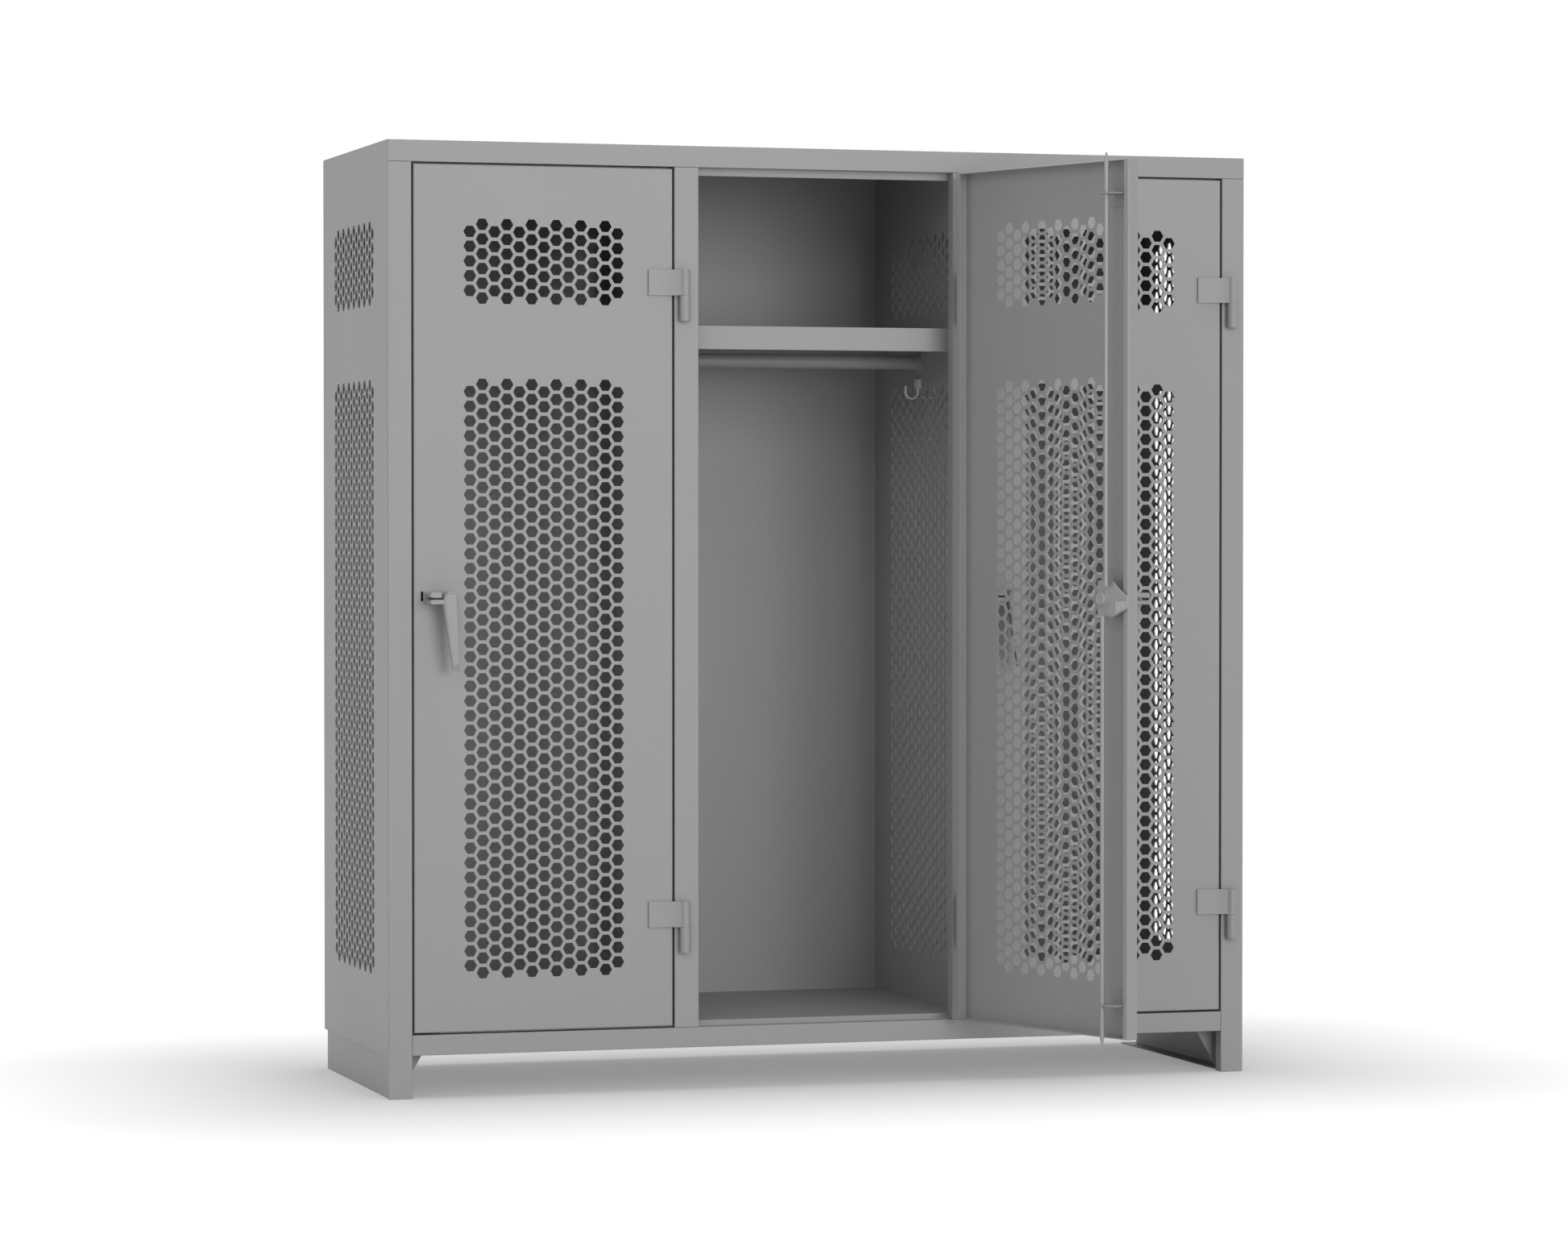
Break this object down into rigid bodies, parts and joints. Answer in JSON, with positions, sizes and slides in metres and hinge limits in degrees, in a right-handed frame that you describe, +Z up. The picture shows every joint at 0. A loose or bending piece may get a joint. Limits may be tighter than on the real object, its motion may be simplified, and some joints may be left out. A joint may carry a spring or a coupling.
{
  "type": "ventilated locker",
  "caption": "Free-standing steel locker with side-by-side bays, each with a perforated hinged door, turn handle, latch rods, shelf, coat rod and hooks.",
  "frame": {"origin": "bottom centre of the box around the locker with its middle door open", "axes": "+X to the right as one faces the doors, +Y to the back, +Z up; the doors face -Y"},
  "size_m": [1.8288, 1.1836, 1.9118],
  "materials": {
    "case_paint": "mid grey powder coat, satin",
    "door_paint": "mid grey powder coat, satin",
    "fitting_paint": "mid grey coat on castings and fittings, satin",
    "plain_steel": "grey coated latch steel, satin"
  },
  "bodies": {
    "cabinet": {"side_panel_left": "case_paint", "side_panel_right": "case_paint", "divider_left": "case_paint", "divider_right": "case_paint", "back_panel": "case_paint", "top_panel": "case_paint", "header": "case_paint", "bottom_rail": "case_paint", "floor_panel": "case_paint", "end_stile_left": "case_paint", "end_stile_right": "case_paint", "mid_stile_left": "case_paint", "mid_stile_right": "case_paint", "leg_skid_left": "case_paint", "leg_skid_right": "case_paint", "leg_gusset_left": "case_paint", "leg_gusset_right": "case_paint", "shelf_left": "case_paint", "coat_rod_left": "fitting_paint", "coat_hook_left_bay_left": "fitting_paint", "coat_hook_left_bay_right": "fitting_paint", "frame_barrel_upper_left": "case_paint", "frame_barrel_lower_left": "case_paint", "shelf_middle": "case_paint", "coat_rod_middle": "fitting_paint", "coat_hook_middle_bay_left": "fitting_paint", "coat_hook_middle_bay_right": "fitting_paint", "frame_barrel_upper_middle": "case_paint", "frame_barrel_lower_middle": "case_paint", "shelf_right": "case_paint", "coat_rod_right": "fitting_paint", "coat_hook_right_bay_left": "fitting_paint", "coat_hook_right_bay_right": "fitting_paint", "frame_barrel_upper_right": "case_paint", "frame_barrel_lower_right": "case_paint"},
    "door_left": {"door_pan_left": "door_paint", "hinge_leaf_upper_left": "door_paint", "hinge_leaf_lower_left": "door_paint", "escutcheon_left": "fitting_paint"},
    "latch_left": {"handle_left": "fitting_paint", "latch_cam_left": "plain_steel"},
    "rod_upper_left": {"latch_rod_upper_left": "plain_steel"},
    "rod_lower_left": {"latch_rod_lower_left": "plain_steel"},
    "door_middle": {"door_pan_middle": "door_paint", "hinge_leaf_upper_middle": "door_paint", "hinge_leaf_lower_middle": "door_paint", "escutcheon_middle": "fitting_paint"},
    "latch_middle": {"handle_middle": "fitting_paint", "latch_cam_middle": "plain_steel"},
    "rod_upper_middle": {"latch_rod_upper_middle": "plain_steel"},
    "rod_lower_middle": {"latch_rod_lower_middle": "plain_steel"},
    "door_right": {"door_pan_right": "door_paint", "hinge_leaf_upper_right": "door_paint", "hinge_leaf_lower_right": "door_paint", "escutcheon_right": "fitting_paint"},
    "latch_right": {"handle_right": "fitting_paint", "latch_cam_right": "plain_steel"},
    "rod_upper_right": {"latch_rod_upper_right": "plain_steel"},
    "rod_lower_right": {"latch_rod_lower_right": "plain_steel"}
  },
  "joints": [
    {"name": "door_swing_left", "type": "hinge", "parent": "cabinet", "child": "door_left", "pos_m": [-0.3033, -0.0444, 0.97], "axis": [0, 0, 1], "range_deg": [0, 120]},
    {"name": "handle_turn_left", "type": "hinge", "parent": "door_left", "child": "latch_left", "pos_m": [-0.7979, -0.0331, 1], "axis": [0, -1, 0], "range_deg": [0, 90]},
    {"name": "rod_slide_upper_left", "type": "slide", "parent": "door_left", "child": "rod_upper_left", "axis": [0, 0, -1], "range_m": [0, 0.02]},
    {"name": "rod_slide_lower_left", "type": "slide", "parent": "door_left", "child": "rod_lower_left", "axis": [0, 0, 1], "range_m": [0, 0.02]},
    {"name": "door_swing_middle", "type": "hinge", "parent": "cabinet", "child": "door_middle", "pos_m": [0.2908, -0.0444, 0.97], "axis": [0, 0, 1], "range_deg": [-110.2, 9.8]},
    {"name": "handle_turn_middle", "type": "hinge", "parent": "door_middle", "child": "latch_middle", "pos_m": [0.45098, -0.51248, 1], "axis": [0.9385, 0.3453, 0], "range_deg": [0, 90]},
    {"name": "rod_slide_upper_middle", "type": "slide", "parent": "door_middle", "child": "rod_upper_middle", "axis": [0, 0, -1], "range_m": [0, 0.02]},
    {"name": "rod_slide_lower_middle", "type": "slide", "parent": "door_middle", "child": "rod_lower_middle", "axis": [0, 0, 1], "range_m": [0, 0.02]},
    {"name": "door_swing_right", "type": "hinge", "parent": "cabinet", "child": "door_right", "pos_m": [0.8849, -0.0444, 0.97], "axis": [0, 0, 1], "range_deg": [0, 120]},
    {"name": "handle_turn_right", "type": "hinge", "parent": "door_right", "child": "latch_right", "pos_m": [0.3903, -0.0331, 1], "axis": [0, -1, 0], "range_deg": [0, 90]},
    {"name": "rod_slide_upper_right", "type": "slide", "parent": "door_right", "child": "rod_upper_right", "axis": [0, 0, -1], "range_m": [0, 0.02]},
    {"name": "rod_slide_lower_right", "type": "slide", "parent": "door_right", "child": "rod_lower_right", "axis": [0, 0, 1], "range_m": [0, 0.02]}
  ],
  "couplings": [
    {"joint": "rod_slide_upper_left", "follows": "handle_turn_left", "m_per_rad": 0.012732},
    {"joint": "rod_slide_lower_left", "follows": "handle_turn_left", "m_per_rad": 0.012732},
    {"joint": "rod_slide_upper_middle", "follows": "handle_turn_middle", "m_per_rad": 0.012732},
    {"joint": "rod_slide_lower_middle", "follows": "handle_turn_middle", "m_per_rad": 0.012732},
    {"joint": "rod_slide_upper_right", "follows": "handle_turn_right", "m_per_rad": 0.012732},
    {"joint": "rod_slide_lower_right", "follows": "handle_turn_right", "m_per_rad": 0.012732}
  ]
}
